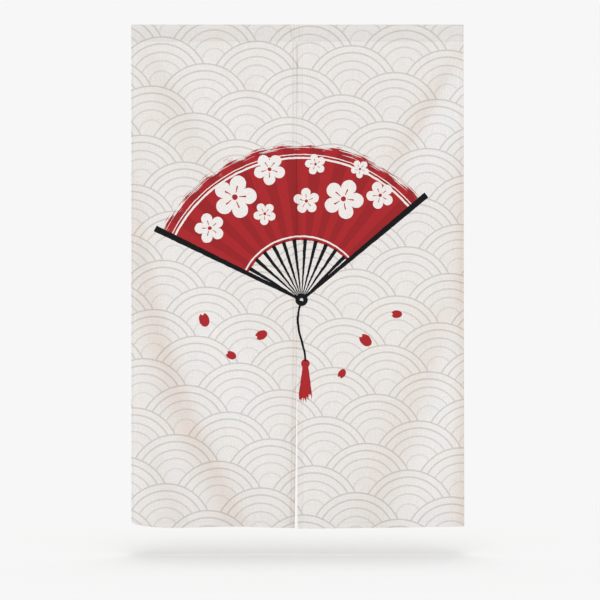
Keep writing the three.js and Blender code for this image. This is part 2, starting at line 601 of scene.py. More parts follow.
@dataclass
class Panel(ClothPiece):
    """One hemmed panel: a single cloth with its side hems and foot hem turned to the back."""

    side: Side
    hang: Hang
    hem_left: float
    hem_right: float
    slit_back: float
    roll: float
    roll_reach: float
    foot: tuple[float, ...]
    curl_along: float = 0.0
    curl_up: float = 0.0
    curl_radius: float = 7.0
    corner_round: float = 8.0
    foot_hem: float = 14.0
    lip: float = 0.5
    stitch_inset: float = 1.2
    stitch_margin: float = 1.6
    stitch_step: float = 0.8
    hem_step: float = 1.8
    past_hem: float = 5.0
    column_step: float = 4.6
    row_step: float = 4.8
    curl_step: float = 2.4
    joint_fade: float = 24.0
    pucker_fade: float = 30.0
    soft_from: float = 45.0
    soft_to: float = 120.0
    seam_dip: float = 0.12
    seam_reach: float = 2.4
    valley: float = 0.0
    valley_reach: float = 14.0
    hem_crease: float = 0.0
    hem_crease_out: float = 0.0
    hem_crease_reach: float = 1.2
    # painted shade along the slit side's hem crease and beside the seam
    hem_shade: float = 0.0
    hem_shade_reach: float = 1.5
    seam_pressed: float = 0.6
    seam_shade: float = 1.6
    seam_shade_reach: float = 5.0

    def __post_init__(self) -> None:
        """Works out the panel's width, its stitch rows and its stops."""
        self.name = f"{self.side.value}_panel_cloth"
        self.top = self.hang.joint_z
        self.run = self.hang.length + self.top
        first, last = self.edges(self.top)
        self.width = last - first
        self.row_left, self.row_right, self.row_foot = (
            StitchRow(hem - self.stitch_inset) for hem in (self.hem_left, self.hem_right, self.foot_hem)
        )
        self.slit_row = self.row_right if self.side is Side.LEFT else self.row_left
        self.columns = self._stops_across()
        self.rows = self._stops_down()

    def _hem_marks(self, hem: float) -> Marks:
        """Returns fine marks from a folded edge to just past its hem.

        Args:
            hem: the hem's width.

        Returns:
            Marks for graded_stops.
        """
        stitches = (hem - self.stitch_inset - self.stitch_margin, self.stitch_step)
        past = (hem + self.past_hem, self.column_step)
        return [*folded_edge(2.2), stitches, (hem, self.lip), (hem + self.lip, self.hem_step), past]

    def _stops_across(self) -> list[float]:
        """Works out the columns, fine at both hems and at the curled corner.

        Returns:
            The stops from the left edge to the right.
        """
        marks = self._hem_marks(self.hem_left)
        if self.curl_along:
            marks[-1] = (marks[-1][0], self.curl_step)
            marks.append((self.curl_along + self.curl_radius, self.column_step))
        return graded_stops(marks + mirrored(self._hem_marks(self.hem_right), self.width))

    def _stops_down(self) -> list[float]:
        """Works out the rows, fine at the joint, the foot hem and the curled corner.

        Returns:
            The stops from the joint to the foot.
        """
        marks = [(0.0, 1.0), (4.0, self.row_step)]
        if self.curl_along:
            marks.append((self.run - self.curl_up - 2 * self.curl_radius, self.curl_step))
        return graded_stops(marks + mirrored(self._hem_marks(self.foot_hem), self.run))

    def edges(self, z: float) -> tuple[float, float]:
        """Works out where the panel's edges are.

        Args:
            z: a height.

        Returns:
            The x of its left and right edges there.
        """
        hang = self.hang
        parting = self.slit_back * below(z, hang.parting_top, hang.length)
        if self.side is Side.LEFT:
            slack = hang.slit_slack * hang.loose(z)
            return hang.left_x + self._corner_draw(z), hang.seam_x - slack - parting
        lap = hang.slit_lap * hang.loose(z) * (1 - below(z, hang.lap_end, hang.parting_top))
        flare = hang.right_flare * below(z, 0, hang.length)
        return hang.seam_x - lap + parting, hang.right_x + flare

    def _corner_draw(self, z: float) -> float:
        """Works out how the curled corner's tip is rounded.

        Args:
            z: a height.

        Returns:
            How far the tip is drawn in from the left edge there.
        """
        if not self.curl_along:
            return 0.0
        inside = clamp(self.corner_round - (z + self.foot[0] - self.curl_up), 0, self.corner_round)
        return self.corner_round - math.sqrt(self.corner_round**2 - inside**2)

    def _spot(self, column: float, row: float) -> tuple[float, float, float]:
        """Works out where a point hangs.

        Args:
            column: its place across the cloth.
            row: its place down the cloth.

        Returns:
            Its x and z, and its distance from the slit's edge.
        """
        foot_z = -smooth_line(self.foot, column / self.width)
        z = mix(self.top, foot_z, row / self.run)
        left, right = self.edges(z)
        x = mix(left, right, column / self.width)
        return x, z, (right - x if self.side is Side.LEFT else x - left)

    def _set_back(self, column: float, row: float) -> float:
        """Works out how far the front face is set back, with its folds, stitches and seam.

        Args:
            column: a point's place across the cloth.
            row: its place down the cloth.

        Returns:
            The distance towards the back.
        """
        x, z, from_slit = self._spot(column, row)
        hang = self.hang
        from_joint = smooth_step(row, 0, self.joint_fade)
        nearness = max(0.0, 1 - from_slit / self.roll_reach)
        softness = hang.softness(x, z) * smooth_step(-z, self.soft_from, self.soft_to)
        depth = hang.folds(self.side, x, z) + softness
        depth += self.roll * nearness**2 * hang.loose(z)
        depth += self.seam_dip * fading(from_slit, self.seam_reach) * hang.sewn(z) * from_joint
        depth += self.valley * fading(from_slit, self.valley_reach) * hang.sewn(z) * from_joint
        from_hem = from_slit - self.slit_row.inset + self.hem_crease_out
        depth += self.hem_crease * bell(from_hem, self.hem_crease_reach) * from_joint
        for stitch, distance, along in self._stitch_distances(column, row):
            depth += stitch.press(distance)
            fade = smooth_step(row, 0, self.pucker_fade)
            depth += stitch.ripple(distance, along, stitch.inset) * fade
        return depth

    def _stitch_distances(self, column: float, row: float) -> list[tuple[StitchRow, float, float]]:
        """Measures a point against each stitch row.

        Args:
            column: the point's place across the cloth.
            row: its place down the cloth.

        Returns:
            Each row with the point's distance from it and its place along it, shifted so that no
            two rows pucker alike.
        """
        return [
            (self.row_left, column - self.row_left.inset, row),
            (self.row_right, self.width - column - self.row_right.inset, row + 371),
            (self.row_foot, self.run - row - self.row_foot.inset, column + 97),
        ]

    def _thickness(self, column: float, row: float) -> float:
        """Works out the cloth's thickness: single, or more in the hems.

        Args:
            column: a point's place across the cloth.
            row: its place down the cloth.

        Returns:
            The thickness there.
        """
        past_left, past_right, past_foot = (
            smooth_step(distance, hem, hem + self.lip)
            for distance, hem in (
                (column, self.hem_left),
                (self.width - column, self.hem_right),
                (self.run - row, self.foot_hem),
            )
        )
        beside = min(2 - past_left - past_right, 1.0)
        return self.hang.single + self.hang.hem_extra * (beside + 1 - past_foot)

    def _rounding(self, column: float, row: float, thickness: float) -> float:
        """Works out how far a face draws in near a folded edge, which is rounded.

        Args:
            column: a point's place across the cloth.
            row: its place down the cloth.
            thickness: the cloth's thickness there.

        Returns:
            The distance into the cloth. The seam's edges are pressed flatter.
        """
        radius = thickness / 2
        drawn_in = rounded(min(column, self.width - column, self.run - row), radius)
        _, z, from_slit = self._spot(column, row)
        pressed_flat = self.hang.sewn(z) if from_slit < radius else 0.0
        return drawn_in * (1 - self.seam_pressed * pressed_flat)

    def place(self, column: float, row: float, layer: Layer) -> Vector:
        """Works out where a point of the panel is.

        Args:
            column: its place across the cloth.
            row: its place down the cloth.
            layer: the face that it is on.

        Returns:
            Its place as the panel hangs.
        """
        x, z, _ = self._spot(column, row)
        point = Vector((x, self._set_back(column, row) + self.hang.front, z))
        thickness = self._thickness(column, row)
        inset = self._rounding(column, row, thickness)
        if layer is Layer.BACK:
            inset = thickness - inset
            for stitch, distance, _ in self._stitch_distances(column, row):
                inset -= stitch.back_groove * stitch.press(distance)
        if self.curl_along:
            return self._curl(point, inset)
        point.y += inset
        return point

    def _curl(self, point: Vector, inset: float) -> Vector:
        """Wraps a point beyond the corner's crease round a cylinder behind the cloth.

        Args:
            point: its place on the front face before the corner curls.
            inset: how far it lies into the cloth.

        Returns:
            Its place on the curled cloth.
        """
        radius = self.curl_radius
        crease = math.hypot(self.curl_along, self.curl_up)
        towards = Vector((-self.curl_up / crease, 0, -self.curl_along / crease))
        crease_start = Vector((self.hang.left_x, 0, self.curl_up - self.foot[0]))
        distance = (point - crease_start).dot(towards)
        wrapped = (distance + radius) / radius
        if wrapped <= 0:
            point.y += inset
            return point
        point += towards * ((radius - inset) * math.sin(wrapped) - radius - distance)
        point.y += radius - (radius - inset) * math.cos(wrapped)
        return point

    def face(self, column: float, row: float, layer: Layer) -> Face:
        """Tells what shows: the print in front, and the reverse behind between the plain hems.

        Args:
            column: a place across the cloth.
            row: a place down the cloth.
            layer: the face that is seen.

        Returns:
            What the cloth shows there.
        """
        if layer is Layer.FRONT:
            return Face.PRINTED
        in_side_hem = column < self.hem_left or column > self.width - self.hem_right
        in_hem = in_side_hem or row > self.run - self.foot_hem
        return Face.PLAIN if in_hem else Face.REVERSE

    def print_place(self, column: float, row: float, turned: bool) -> tuple[float, float]:
        """Works out a point's place on the flat cloth, which a hem continues past its fold.

        Args:
            column: its place across the cloth.
            row: its place down the cloth.
            turned: whether it is on a hem that is turned to the back.

        Returns:
            Its x and z on the flat cloth.
        """
        x, z, _ = self._spot(column, row)
        if turned and row > self.run - self.foot_hem:
            z -= 2 * (self.run - row)
        elif turned and column < self.hem_left:
            x -= 2 * column
        elif turned and column > self.width - self.hem_right:
            x += 2 * (self.width - column)
        return x, z

    def edge_shade(self, column: float, row: float) -> float:
        """Works out the painted shade at the folded side edges, beside the seam and along the hem crease.

        Args:
            column: a place across the cloth.
            row: a place down the cloth.

        Returns:
            The painted shade, from 1 or more on such a line to 0.
        """
        _, z, from_slit = self._spot(column, row)
        from_right = self.width - column
        # painted shade on the hem crease and beside the seam, over the painted shade at folded edges
        painted_hem_shade = self.hem_shade * bell(from_right - self.row_right.inset, self.hem_shade_reach)
        sewn = 1.0 if self.side is Side.RIGHT else self.hang.sewn(z)
        painted_seam_shade = self.seam_shade * bell(from_slit, self.seam_shade_reach) * sewn
        return max(bell(min(column, from_right), self.edge_reach), painted_seam_shade) + painted_hem_shade

    def stitch_runs(self) -> list[StitchRun]:
        """Lists the panel's rows of stitches, which show on both faces.

        Returns:
            Where their threads run.
        """
        rows = (
            # whether it runs down, its fixed stop and the length that it crosses
            (True, self.row_left.inset, self.run),
            (True, self.width - self.row_right.inset, self.run),
            (False, self.run - self.row_foot.inset, self.width),
        )
        return [StitchRun(layer, *row, layer is Layer.BACK) for layer in Layer for row in rows]


@dataclass
class Heading(ClothPiece):
    """The rod pocket: the cloth turned over a rod's room and stitched down behind."""

    hang: Hang
    rod_room: float = 14.0
    height: float = 39.0
    margin: float = 2.15
    turned_hem: float = 11.0
    turned_layers: float = 1.9
    side_hem: float = 7.0
    lip: float = 0.5
    column_step: float = 4.6
    seam_span: float = 18.0
    seam_step: float = 1.1
    arc_steps: int = 16
    wall_step: float = 2.4
    margin_step: float = 0.7
    margin_reach: float = 2.2
    lift_reach: float = 6.0
    slack: float = 0.25
    slack_from: float = 8.0
    slack_to: float = 24.0
    # painted shade in the pocket's creases, for each millimetre of their depth
    crease_shade: float = 2.6

    def __post_init__(self) -> None:
        """Works out the pocket's section and stops."""
        self.name = "heading_cloth"
        self.width = self.hang.right_x - self.hang.left_x
        self.outer = self.rod_room / 2 - self.hang.front
        drop, nip = self.height - self.outer, -self.hang.front
        self.lean = math.asin(self.outer / math.hypot(nip, drop)) - math.atan(nip / drop)
        self.wall = math.sqrt(nip**2 + drop**2 - self.outer**2)
        self.arc = self.outer * (math.pi + 2 * self.lean)
        self.run = 2 * (self.margin + self.wall) + self.arc
        self.stitch = StitchRow(self.margin, groove=0.3, pucker=0.3, pucker_reach=9.0)
        self.columns = self._stops_across()
        self.rows = self._stops_down()

    def _stops_across(self) -> list[float]:
        """Works out the columns, fine at both ends and beside the seam.

        Returns:
            The stops from the left end to the right.
        """
        end = folded_edge(2.0) + [(self.side_hem, self.lip), (self.side_hem + self.lip, self.column_step)]
        middle = self.width / 2
        seam = [(middle - self.seam_span, self.seam_step), (middle + self.seam_span, self.column_step)]
        return graded_stops(end + seam + mirrored(end, self.width))

    def _stops_down(self) -> list[float]:
        """Works out the rows, fine in the sewn margins, round the top and at the foot behind.

        Returns:
            The stops from the joint in front over the top to the foot behind.
        """
        sewn = self.margin + self.margin_reach
        front_arc = self.margin + self.wall
        front = [(0.0, self.margin_step), (sewn, self.wall_step)]
        top = [(front_arc, self.arc / self.arc_steps), (front_arc + self.arc, self.wall_step)]
        foot = folded_edge(self.margin_step) + [(sewn, self.wall_step)]
        return graded_stops(front + top + mirrored(foot, self.run))

    def _section(self, row: float) -> tuple[float, float, float, float]:
        """Reads the pocket's outline.

        Args:
            row: the distance along the cloth, from the joint in front over the top to the foot behind.

        Returns:
            y and z on the outer face, and y and z of the direction out of it.
        """
        nip, foot_z = self.hang.front, -self.height
        sign = -1.0 if row > self.run / 2 else 1.0
        at = self.run - row if row > self.run / 2 else row
        if at < self.margin:
            return sign * nip, foot_z - (self.margin - at), -sign, 0.0
        if at < self.margin + self.wall:
            along = at - self.margin
            lean_y, lean_z = math.sin(self.lean), math.cos(self.lean)
            return sign * (nip - along * lean_y), foot_z + along * lean_z, -sign * lean_z, -lean_y
        angle = (at - self.margin - self.wall) / self.outer - self.lean
        y, z = -math.cos(angle), math.sin(angle)
        return sign * self.outer * y, self.outer * (z - 1), sign * y, z

    def _sway(self, x: float, z: float) -> float:
        """Returns how far the folds below push the pocket's foot."""
        side = Side.LEFT if x < self.hang.seam_x else Side.RIGHT
        return self.hang.folds(side, x, self.hang.joint_z) * below(z, 0, self.height)

    def _thickness(self, column: float, row: float) -> float:
        """Works out the cloth's thickness, doubled at the side hems and the turned foot behind.

        Args:
            column: a point's place across the cloth.
            row: its place along the cloth.

        Returns:
            The thickness there.
        """
        from_side = min(column, self.width - column)
        layers = 2 - smooth_step(from_side, self.side_hem, self.side_hem + self.lip)
        if self.run - row < self.turned_hem:
            layers = max(layers, self.turned_layers)
        return self.hang.single * layers

    def place(self, column: float, row: float, layer: Layer) -> Vector:
        """Works out where a point of the pocket is.

        Args:
            column: its place across the cloth.
            row: its place along the cloth, from the joint in front over the top.
            layer: the face that it is on, FRONT for the outer one.

        Returns:
            Its place as the pocket hangs.
        """
        x = self.hang.left_x + column
        y, z, out_y, out_z = self._section(row)
        from_end = min(row, self.run - row)
        groove = self.stitch.press(from_end - self.margin)
        ripple = self.stitch.ripple(from_end - self.margin, column, 4.2)
        ripple *= smooth_step(from_end, 0, self.margin_reach)
        loose = waver(x, row, (46, 30), 1.7) * self.slack
        loose *= smooth_step(from_end, self.slack_from, self.slack_to)
        thickness = self._thickness(column, row)
        inset = rounded(min(column, self.width - column, self.run - row), thickness / 2)
        if layer is Layer.BACK:
            inset = thickness - inset - self.stitch.back_groove * groove
        inward = inset + groove + self._crease_press(x, z, row) + ripple - loose
        return Vector((x, y - out_y * inward + self._sway(x, z), z - out_z * inward * self._lift(row)))

    def _crease_press(self, x: float, z: float, row: float) -> float:
        """Returns how deep the creases beside the seam are, which run down the pocket's front."""
        return sum(crease.press(x, z) for crease in POCKET_CREASES) if row <= self.run / 2 else 0.0

    def _lift(self, row: float) -> float:
        """Returns 0 in the sewn margins, where the cloth may not shift up or down, and 1 above."""
        return smooth_step(min(row, self.run - row), self.margin, self.margin + self.lift_reach)

    def face(self, column: float, row: float, layer: Layer) -> Face:
        """Tells what shows: the print up to the top, plain cloth behind, and the reverse inside."""
        outside = Face.PRINTED if row < self.run / 2 else Face.PLAIN
        return Face.REVERSE if layer is Layer.BACK else outside

    def print_place(self, column: float, row: float, turned: bool) -> tuple[float, float]:
        """Returns a point's place on the flat cloth, which runs on over the top."""
        return self.hang.left_x + column, self.hang.joint_z + row

    def edge_shade(self, column: float, row: float) -> float:
        """Works out the painted shade at a folded edge or a crease.

        Args:
            column: a place across the cloth.
            row: a place along the cloth.

        Returns:
            The painted shade, from 1 or more on such a line to 0.
        """
        edge = bell(min(column, self.width - column, self.run - row), self.edge_reach)
        x, z = self.hang.left_x + column, self._section(row)[1]
        return edge + self.crease_shade * self._crease_press(x, z, row)

    def stitch_runs(self) -> list[StitchRun]:
        """Returns the row of stitches below the pocket, in front and behind."""
        rows = ((self.margin, False), (self.run - self.margin, True))
        return [StitchRun(Layer.FRONT, False, at, self.width, behind) for at, behind in rows]


# Finishes


def linear(code: str) -> tuple[float, float, float, float]:
    """Turns an sRGB colour into the linear values that shaders take.

    Args:
        code: the colour in hex, such as #EBE8E4.

    Returns:
        Red, green and blue, and full cover.
    """
    channels = [int(code[k : k + 2], 16) / 255 for k in (1, 3, 5)]
    straight = [c / 12.92 if c <= 0.04045 else ((c + 0.055) / 1.055) ** 2.4 for c in channels]
    return (*straight, 1.0)


class Nodes:
    """One material and its shader nodes. A field is a value that the nodes work out at each place.

    A mask is a field that is 1 where something is printed and 0 elsewhere.
    """

    def __init__(self, name: str) -> None:
        """Starts a material with the standard surface shader.

        Args:
            name: the material's name.
        """
        self.material = bpy.data.materials.new(name)
        self.material.use_nodes = True
        self.tree = self.material.node_tree

    @cached_property
    def flat(self) -> Field:
        """Places on the flat cloth."""
        return self.add("UVMap", output="UV", uv_map=FLAT_MAP)

    def add(
        self,
        kind: str,
        *values: Value,
        inputs: Inputs | None = None,
        output: int | str = 0,
        **settings: str,
    ) -> Field:
        """Adds a node with its settings and links.

        Args:
            kind: the node's type, without ShaderNode in front, and its operation if it has one.
            values: a value or another node's output for each of its first inputs.
            inputs: the same for other inputs, by name or number.
            output: the output that is wanted, by name or number.
            settings: the node's own properties.

        Returns:
            The wanted output.
        """
        node_type, _, operation = kind.partition(" ")
        node = self.tree.nodes.new(f"ShaderNode{node_type}")
        if operation:
            settings["operation"] = operation
        for key, value in settings.items():
            setattr(node, key, value)
        self.fill(node, {**dict(enumerate(values)), **(inputs or {})})
        return node.outputs[output]

    def fill(self, node: bpy.types.Node, inputs: Inputs) -> None:
        """Sets or links a node's inputs.

        Args:
            node: the node.
            inputs: for each input, by name or number, a value or another node's output.
        """
        for key, value in inputs.items():
            if isinstance(value, Field):
                self.tree.links.new(value, node.inputs[key])
            else:
                node.inputs[key].default_value = value

    def finish(self, surface: Inputs) -> Finish:
        """Sets the surface shader's inputs, by name, and returns the material."""
        self.fill(self.tree.nodes["Principled BSDF"], surface)
        return self.material

    def joined(self, operation: str, fields: Sequence[Field]) -> Field:
        """Joins masks: MULTIPLY keeps what all of them cover, and MAXIMUM what any covers."""
        return reduce(lambda first, second: self.add(f"Math {operation}", first, second), fields)

    def polar(self, place: Field) -> tuple[Field, Field]:
        """Measures places from the middle of their coordinates.

        Args:
            place: the coordinates.

        Returns:
            The distance from the middle, and the angle from straight up.
        """
        x = self.add("SeparateXYZ", place)
        angle = self.add("Math ARCTAN2", x, x.node.outputs[1])
        return self.add("VectorMath LENGTH", place, output=1), angle

    def inked(self, colour: Value, layers: Sequence[tuple[Field, str]]) -> Value:
        """Lays inks over a colour.

        Args:
            colour: the colour below.
            layers: pairs of a mask and an ink in hex, from the lowest layer to the highest.

        Returns:
            The colour with its inks.
        """
        for mask, ink in layers:
            blend = {0: mask, 6: colour, 7: linear(ink)}
            colour = self.add("Mix", inputs=blend, output=2, data_type="RGBA")
        return colour


@dataclass(frozen=True)
class Motif:
    """Where a motif stands on the print, in millimetres, with its size and its turn."""

    x: float
    y: float
    size: float = 1.0
    turn: float = 0.0

    def seat(self, places: Field, unit: float = 1.0, slim: float = 1.0) -> Inputs:
        """Says what a Mapping node takes to measure from the motif's middle, in its size.

        Args:
            places: the coordinates that the motif stands in.
            unit: a millimetre's length in them.
            slim: the motif's width for its height.

        Returns:
            The node's inputs, by name.
        """
        return {
            "Vector": places,
            "Location": (self.x * unit, self.y * unit, 0),
            "Rotation": (0, 0, self.turn),
            "Scale": (self.size * slim * unit, self.size * unit, self.size * unit),
        }


@dataclass(frozen=True)
class WavePrint:
    """The overlapping wave scales, a traditional repeat, printed in pale grey ink.

    Each row of scales covers the row above it. The rows lean a little to the right, and each is
    shifted along by shift from the one above.
    """

    first: Motif = Motif(-221.8, -202.9, turn=math.radians(-2.66))
    spacing: float = 226.75
    row_drop: float = 59.0
    shift: float = 104.05
    line: float = 2.6
    line_core: float = 0.35
    cover: float = 0.6
    reach: float = 1.1
    rings: tuple[tuple[float, float], ...] = (
        # radius, strength of the ink
        (29.2, 0.46),
        (53.2, 0.64),
        (73.4, 0.76),
        (93.1, 0.92),
        (109.9, 1.0),
    )

    def ink(self, nodes: Nodes) -> Field:
        """Draws the scales.

        Args:
            nodes: the material's nodes.

        Returns:
            The strength of the ink, from 0 to 1.
        """
        add = nodes.add
        half = self.spacing / 2
        outermost = self.rings[-1][0]
        place = add("Mapping", inputs=self.first.seat(nodes.flat, MM), vector_type="TEXTURE")
        along = add("SeparateXYZ", place)
        rows = add("Math MULTIPLY", along.node.outputs[1], -1 / self.row_drop)
        whole = add("Math FLOOR", rows)
        part = add("Math FRACT", rows)
        base = add("Math MULTIPLY_ADD", whole, -self.shift, along)
        radii = []
        for row in (0, 1, 2):
            beside = add("Math WRAP", add("Math ADD", base, -row * self.shift), half, -half)
            height = add("Math MULTIPLY_ADD", part, self.row_drop, -row * self.row_drop)
            radii.append(add("VectorMath LENGTH", add("CombineXYZ", beside, height), output=1))
        nearest = radii[0]
        for radius in radii[1:]:
            covers = add("Math LESS_THAN", radius, outermost + self.line * self.cover)
            nearest = add("Mix", inputs={0: covers, 2: nearest, 3: radius})
        reach = self.reach * outermost
        ramp = add("ValToRGB", add("Math MULTIPLY", nearest, 1 / reach))
        stops = ramp.node.color_ramp.elements
        stops[0].position = 0.0
        stops[0].color = (0, 0, 0, 1)
        stops.remove(stops[1])
        for radius, strength in self.rings:
            for offset, height in ((-1.0, 0), (-self.line_core, 1), (self.line_core, 1), (1.0, 0)):
                stop = stops.new((radius + offset * self.line) / reach)
                stop.color = (height * strength,) * 3 + (1,)
        return ramp


@dataclass(frozen=True)
class CordPrint:
    """The fan's cord, which hangs from its rivet, and the tassel. Heights are from the rivet."""

    sway: float = 9.0
    wave: float = 31.0
    half_width: float = 2.7
    middle: float = -74.0
    half_length: float = 72.0
    end: float = -146.0
    knob: float = -152.0
    knob_radius: float = 10.5
    skirt_top: float = -160.0
    skirt_slope: float = -0.13
    skirt_narrowing: float = -13.5
    ragged_end: float = -258.0
    ragged: float = 46.0
    strand: float = 0.34
    strand_stretch: float = 0.06

    def masks(self, nodes: Nodes, upright: Field) -> tuple[Field, Field]:
        """Draws the cord, and the tassel at its end.

        Args:
            nodes: the material's nodes.
            upright: places in millimetres from the rivet.

        Returns:
            The masks of the tassel and of the cord.
        """
        add = nodes.add
        x = add("SeparateXYZ", upright)
        y = x.node.outputs[1]
        swing = add("Math SINE", add("Math MULTIPLY", y, 1 / self.wave))
        off = add("Math ABSOLUTE", add("Math MULTIPLY_ADD", swing, -self.sway, x))
        thin = add("Math LESS_THAN", off, self.half_width)
        stretch = add("Math COMPARE", y, self.middle, self.half_length)
        end_x = self.sway * math.sin(self.end / self.wave)
        from_knob = add("VectorMath DISTANCE", upright, (end_x, self.knob, 0.0), output=1)
        knob = add("Math LESS_THAN", from_knob, self.knob_radius)
        drawn_out = add("Mapping", inputs={"Vector": upright, "Scale": (1.0, self.strand_stretch, 1.0)})
        hairs = {"Vector": drawn_out, "Scale": self.strand, "Detail": 1.0}
        strand = add("TexNoise", inputs=hairs, noise_dimensions="2D")
        beside = add("Math ABSOLUTE", add("Math ADD", x, -end_x))
        spread = add("Math MULTIPLY_ADD", y, self.skirt_slope, self.skirt_narrowing)
        ragged = add("Math MULTIPLY_ADD", strand, self.ragged, self.ragged_end)
        skirt = (
            add("Math LESS_THAN", beside, spread),
            add("Math GREATER_THAN", y, ragged),
            add("Math LESS_THAN", y, self.skirt_top),
        )
        tassel = nodes.joined("MAXIMUM", (nodes.joined("MULTIPLY", skirt), knob))
        return tassel, nodes.joined("MULTIPLY", (thin, stretch))


@dataclass(frozen=True)
class FanPrint:
    """An open folding fan with plum blossoms, a generic motif in red and black brush work.

    Its sizes are in millimetres from its rivet. The sizes of a blossom's and a loose petal's parts
    are shares of its own size.
    """

    rivet: tuple[float, float] = (10.0, -655.0)
    tilt: float = math.radians(7)
    half_opening: float = math.radians(57)
    leaf_from: float = 142.0
    leaf_to: float = 384.0
    zigzag: float = 14.0
    ribs: int = 11
    rib_width: float = 8.0
    rib_foot: float = 0.6
    rib_lap: float = 3.0
    guard_width: float = 15.0
    guard_taper: float = 0.25
    guard_past: float = 4.0
    disc: float = 15.0
    eyelet: float = 4.2
    brush_wave: float = 3.2
    brush_scale: float = 62.0
    brush_rim: float = 26.0
    brush_dry: float = 0.26
    brush_fade: float = 0.44
    stroke_scale: tuple[float, float, float] = (3.4, 0.42, 1)
    bands: tuple[tuple[float, float], ...] = (
        # radius, half width
        (151.0, 1.9),
        (338.0, 2.4),
        (346.0, 1.1),
    )
    petal_count: int = 5
    petal_fullness: float = 0.55
    petal_notch: float = 0.5
    pistil: float = 0.13
    stamen_thin: float = 0.985
    stamens: tuple[float, float] = (0.36, 0.16)
    loose_slim: float = 0.72
    loose_notch: tuple[float, float, float] = (0.0, 1.05, 0.0)
    loose_notch_radius: float = 0.34
    red: str = "#A52123"
    shaded_red: str = "#961D1F"
    black: str = "#080607"
    white: str = "#E7DAD0"
    cord: CordPrint = CordPrint()
    blossoms: tuple[Motif, ...] = (
        Motif(-196, 196, 36, 0.2),
        Motif(-128, 262, 52, 0.9),
        Motif(-62, 214, 27, 1.7),
        Motif(-38, 318, 38, 0.5),
        Motif(40, 232, 31, 1.2),
        Motif(72, 316, 25, 0.1),
        Motif(128, 226, 48, 0.7),
        Motif(216, 224, 33, 1.5),
        Motif(176, 292, 22, 0.4),
    )
    petals: tuple[Motif, ...] = (
        Motif(-232, -48, 17, 0.3),
        Motif(-168, -132, 13, 1.1),
        Motif(-96, -84, 15, 2.0),
        Motif(152, -96, 17, 0.8),
        Motif(226, -34, 13, 1.6),
        Motif(96, -176, 12, 2.6),
    )

    def layers(self, nodes: Nodes) -> list[tuple[Field, str]]:
        """Draws the fan.

        Args:
            nodes: the material's nodes.

        Returns:
            Pairs of a mask and an ink, from the lowest layer to the highest.
        """
        draw = FanDrawing(self, nodes)
        leaf = draw.leaf()
        flowers, eyes = draw.flowers()
        tassel, cord = self.cord.masks(nodes, draw.upright)
        shaded, bands, flowers, eyes = (
            nodes.joined("MULTIPLY", (mask, leaf)) for mask in (draw.shade(), draw.bands(), flowers, eyes)
        )
        return [
            (leaf, self.red),
            (shaded, self.shaded_red),
            (bands, self.white),
            (flowers, self.white),
            (eyes, self.red),
            (draw.loose_petals(), self.red),
            (tassel, self.red),
            (cord, self.black),
            (draw.sticks(), self.black),
        ]


